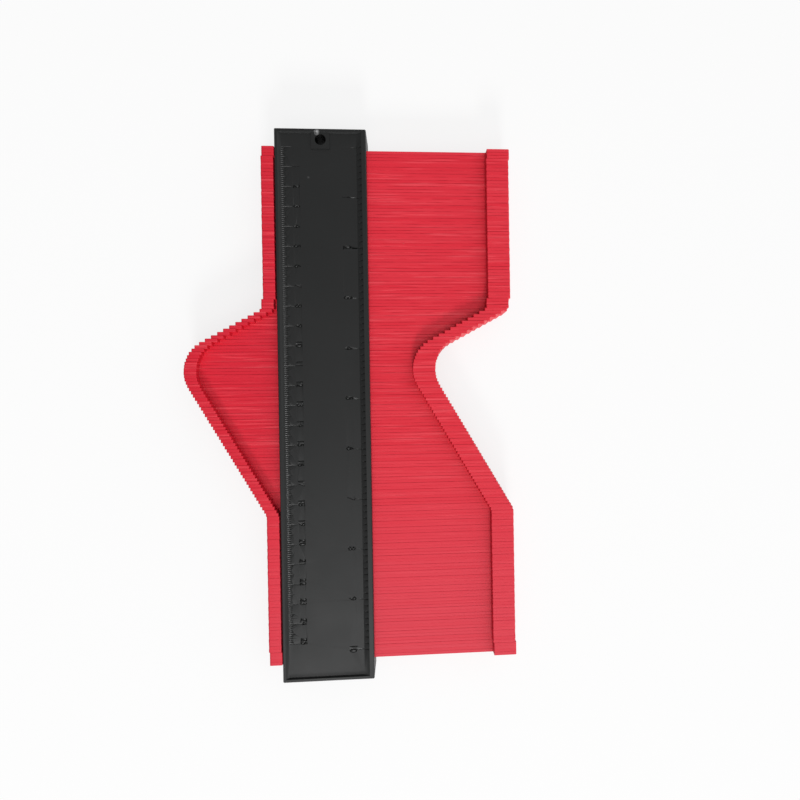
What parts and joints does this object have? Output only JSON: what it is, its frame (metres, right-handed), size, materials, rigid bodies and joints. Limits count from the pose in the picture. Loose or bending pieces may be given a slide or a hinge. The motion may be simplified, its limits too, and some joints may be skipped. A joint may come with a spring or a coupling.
{
  "type": "contour gauge",
  "caption": "Plastic contour gauge: a row of thin sliding leaves gripped in a two-part ruler housing, for copying the profile of a moulding.",
  "frame": {"origin": "middle of the back cover's flat face, on which the gauge rests", "axes": "+Y along the housing towards the scale's zero end, +X along the leaves towards their long heads, +Z out of the ruler face"},
  "size_m": [0.1646, 0.2778, 0.02],
  "materials": {
    "housing_black": "fine textured black ABS with moulded scale marks",
    "leaf_red": "satin red ABS",
    "screw_steel": "zinc-plated steel"
  },
  "bodies": {
    "housing": {"front_cover": "housing_black", "back_cover": "housing_black", "housing_screw_1": "screw_steel", "housing_screw_2": "screw_steel", "housing_screw_3": "screw_steel", "housing_screw_4": "screw_steel"},
    "leaf_pack_01": {"leaf_pack_01": "leaf_red"},
    "leaf_pack_02": {"leaf_pack_02": "leaf_red"},
    "leaf_pack_03": {"leaf_pack_03": "leaf_red"},
    "leaf_pack_04": {"leaf_pack_04": "leaf_red"},
    "leaf_pack_05": {"leaf_pack_05": "leaf_red"},
    "leaf_pack_06": {"leaf_pack_06": "leaf_red"},
    "leaf_pack_07": {"leaf_pack_07": "leaf_red"},
    "leaf_pack_08": {"leaf_pack_08": "leaf_red"},
    "leaf_pack_09": {"leaf_pack_09": "leaf_red"},
    "leaf_pack_10": {"leaf_pack_10": "leaf_red"},
    "leaf_pack_11": {"leaf_pack_11": "leaf_red"},
    "leaf_pack_12": {"leaf_pack_12": "leaf_red"},
    "leaf_pack_13": {"leaf_pack_13": "leaf_red"},
    "leaf_pack_14": {"leaf_pack_14": "leaf_red"},
    "leaf_pack_15": {"leaf_pack_15": "leaf_red"},
    "leaf_pack_16": {"leaf_pack_16": "leaf_red"},
    "leaf_pack_17": {"leaf_pack_17": "leaf_red"},
    "leaf_pack_18": {"leaf_pack_18": "leaf_red"},
    "leaf_pack_19": {"leaf_pack_19": "leaf_red"},
    "leaf_pack_20": {"leaf_pack_20": "leaf_red"},
    "leaf_pack_21": {"leaf_pack_21": "leaf_red"},
    "leaf_pack_22": {"leaf_pack_22": "leaf_red"},
    "leaf_pack_23": {"leaf_pack_23": "leaf_red"},
    "leaf_pack_24": {"leaf_pack_24": "leaf_red"},
    "leaf_pack_25": {"leaf_pack_25": "leaf_red"},
    "leaf_pack_26": {"leaf_pack_26": "leaf_red"},
    "leaf_pack_27": {"leaf_pack_27": "leaf_red"},
    "leaf_pack_28": {"leaf_pack_28": "leaf_red"},
    "leaf_pack_29": {"leaf_pack_29": "leaf_red"},
    "leaf_pack_30": {"leaf_pack_30": "leaf_red"},
    "leaf_pack_31": {"leaf_pack_31": "leaf_red"},
    "leaf_pack_32": {"leaf_pack_32": "leaf_red"},
    "leaf_pack_33": {"leaf_pack_33": "leaf_red"},
    "leaf_pack_34": {"leaf_pack_34": "leaf_red"},
    "leaf_pack_35": {"leaf_pack_35": "leaf_red"},
    "leaf_pack_36": {"leaf_pack_36": "leaf_red"},
    "leaf_pack_37": {"leaf_pack_37": "leaf_red"},
    "leaf_pack_38": {"leaf_pack_38": "leaf_red"},
    "leaf_pack_39": {"leaf_pack_39": "leaf_red"},
    "leaf_pack_40": {"leaf_pack_40": "leaf_red"}
  },
  "joints": [
    {"name": "leaf_pack_01_slide", "type": "slide", "parent": "housing", "child": "leaf_pack_01", "axis": [1, 0, 0], "range_m": [-0.06065, 0]},
    {"name": "leaf_pack_02_slide", "type": "slide", "parent": "housing", "child": "leaf_pack_02", "axis": [1, 0, 0], "range_m": [-0.06067, 0.00035]},
    {"name": "leaf_pack_03_slide", "type": "slide", "parent": "housing", "child": "leaf_pack_03", "axis": [1, 0, 0], "range_m": [-0.06064, 0.00036]},
    {"name": "leaf_pack_04_slide", "type": "slide", "parent": "housing", "child": "leaf_pack_04", "axis": [1, 0, 0], "range_m": [-0.06068, 0.00034]},
    {"name": "leaf_pack_05_slide", "type": "slide", "parent": "housing", "child": "leaf_pack_05", "axis": [1, 0, 0], "range_m": [-0.06065, 0.00035]},
    {"name": "leaf_pack_06_slide", "type": "slide", "parent": "housing", "child": "leaf_pack_06", "axis": [1, 0, 0], "range_m": [-0.06064, 0.00036]},
    {"name": "leaf_pack_07_slide", "type": "slide", "parent": "housing", "child": "leaf_pack_07", "axis": [1, 0, 0], "range_m": [-0.06066, 0.00034]},
    {"name": "leaf_pack_08_slide", "type": "slide", "parent": "housing", "child": "leaf_pack_08", "axis": [1, 0, 0], "range_m": [-0.06064, 0.00035]},
    {"name": "leaf_pack_09_slide", "type": "slide", "parent": "housing", "child": "leaf_pack_09", "axis": [1, 0, 0], "range_m": [-0.06066, 0.00034]},
    {"name": "leaf_pack_10_slide", "type": "slide", "parent": "housing", "child": "leaf_pack_10", "axis": [1, 0, 0], "range_m": [-0.06065, 0.00035]},
    {"name": "leaf_pack_11_slide", "type": "slide", "parent": "housing", "child": "leaf_pack_11", "axis": [1, 0, 0], "range_m": [-0.06064, 0.00038]},
    {"name": "leaf_pack_12_slide", "type": "slide", "parent": "housing", "child": "leaf_pack_12", "axis": [1, 0, 0], "range_m": [-0.05985, 0.00036]},
    {"name": "leaf_pack_13_slide", "type": "slide", "parent": "housing", "child": "leaf_pack_13", "axis": [1, 0, 0], "range_m": [-0.05601, 0.00127]},
    {"name": "leaf_pack_14_slide", "type": "slide", "parent": "housing", "child": "leaf_pack_14", "axis": [1, 0, 0], "range_m": [-0.044, 0.00819]},
    {"name": "leaf_pack_15_slide", "type": "slide", "parent": "housing", "child": "leaf_pack_15", "axis": [1, 0, 0], "range_m": [-0.0321, 0.0202]},
    {"name": "leaf_pack_16_slide", "type": "slide", "parent": "housing", "child": "leaf_pack_16", "axis": [1, 0, 0], "range_m": [-0.02419, 0.03199]},
    {"name": "leaf_pack_17_slide", "type": "slide", "parent": "housing", "child": "leaf_pack_17", "axis": [1, 0, 0], "range_m": [-0.02171, 0.03784]},
    {"name": "leaf_pack_18_slide", "type": "slide", "parent": "housing", "child": "leaf_pack_18", "axis": [1, 0, 0], "range_m": [-0.02148, 0.03922]},
    {"name": "leaf_pack_19_slide", "type": "slide", "parent": "housing", "child": "leaf_pack_19", "axis": [1, 0, 0], "range_m": [-0.02242, 0.03623]},
    {"name": "leaf_pack_20_slide", "type": "slide", "parent": "housing", "child": "leaf_pack_20", "axis": [1, 0, 0], "range_m": [-0.02577, 0.03255]},
    {"name": "leaf_pack_21_slide", "type": "slide", "parent": "housing", "child": "leaf_pack_21", "axis": [1, 0, 0], "range_m": [-0.02957, 0.02875]},
    {"name": "leaf_pack_22_slide", "type": "slide", "parent": "housing", "child": "leaf_pack_22", "axis": [1, 0, 0], "range_m": [-0.03325, 0.02507]},
    {"name": "leaf_pack_23_slide", "type": "slide", "parent": "housing", "child": "leaf_pack_23", "axis": [1, 0, 0], "range_m": [-0.03705, 0.02127]},
    {"name": "leaf_pack_24_slide", "type": "slide", "parent": "housing", "child": "leaf_pack_24", "axis": [1, 0, 0], "range_m": [-0.04073, 0.01759]},
    {"name": "leaf_pack_25_slide", "type": "slide", "parent": "housing", "child": "leaf_pack_25", "axis": [1, 0, 0], "range_m": [-0.04453, 0.01379]},
    {"name": "leaf_pack_26_slide", "type": "slide", "parent": "housing", "child": "leaf_pack_26", "axis": [1, 0, 0], "range_m": [-0.04821, 0.01011]},
    {"name": "leaf_pack_27_slide", "type": "slide", "parent": "housing", "child": "leaf_pack_27", "axis": [1, 0, 0], "range_m": [-0.05202, 0.00631]},
    {"name": "leaf_pack_28_slide", "type": "slide", "parent": "housing", "child": "leaf_pack_28", "axis": [1, 0, 0], "range_m": [-0.0557, 0.00262]},
    {"name": "leaf_pack_29_slide", "type": "slide", "parent": "housing", "child": "leaf_pack_29", "axis": [1, 0, 0], "range_m": [-0.0595, 0.00034]},
    {"name": "leaf_pack_30_slide", "type": "slide", "parent": "housing", "child": "leaf_pack_30", "axis": [1, 0, 0], "range_m": [-0.06064, 0.00037]},
    {"name": "leaf_pack_31_slide", "type": "slide", "parent": "housing", "child": "leaf_pack_31", "axis": [1, 0, 0], "range_m": [-0.06066, 0.00034]},
    {"name": "leaf_pack_32_slide", "type": "slide", "parent": "housing", "child": "leaf_pack_32", "axis": [1, 0, 0], "range_m": [-0.06065, 0.00037]},
    {"name": "leaf_pack_33_slide", "type": "slide", "parent": "housing", "child": "leaf_pack_33", "axis": [1, 0, 0], "range_m": [-0.06064, 0.00035]},
    {"name": "leaf_pack_34_slide", "type": "slide", "parent": "housing", "child": "leaf_pack_34", "axis": [1, 0, 0], "range_m": [-0.06066, 0.00036]},
    {"name": "leaf_pack_35_slide", "type": "slide", "parent": "housing", "child": "leaf_pack_35", "axis": [1, 0, 0], "range_m": [-0.06065, 0.00034]},
    {"name": "leaf_pack_36_slide", "type": "slide", "parent": "housing", "child": "leaf_pack_36", "axis": [1, 0, 0], "range_m": [-0.06066, 0.00035]},
    {"name": "leaf_pack_37_slide", "type": "slide", "parent": "housing", "child": "leaf_pack_37", "axis": [1, 0, 0], "range_m": [-0.06064, 0.00036]},
    {"name": "leaf_pack_38_slide", "type": "slide", "parent": "housing", "child": "leaf_pack_38", "axis": [1, 0, 0], "range_m": [-0.06067, 0.00034]},
    {"name": "leaf_pack_39_slide", "type": "slide", "parent": "housing", "child": "leaf_pack_39", "axis": [1, 0, 0], "range_m": [-0.06064, 0.00036]},
    {"name": "leaf_pack_40_slide", "type": "slide", "parent": "housing", "child": "leaf_pack_40", "axis": [1, 0, 0], "range_m": [-0.0611, 0]}
  ]
}
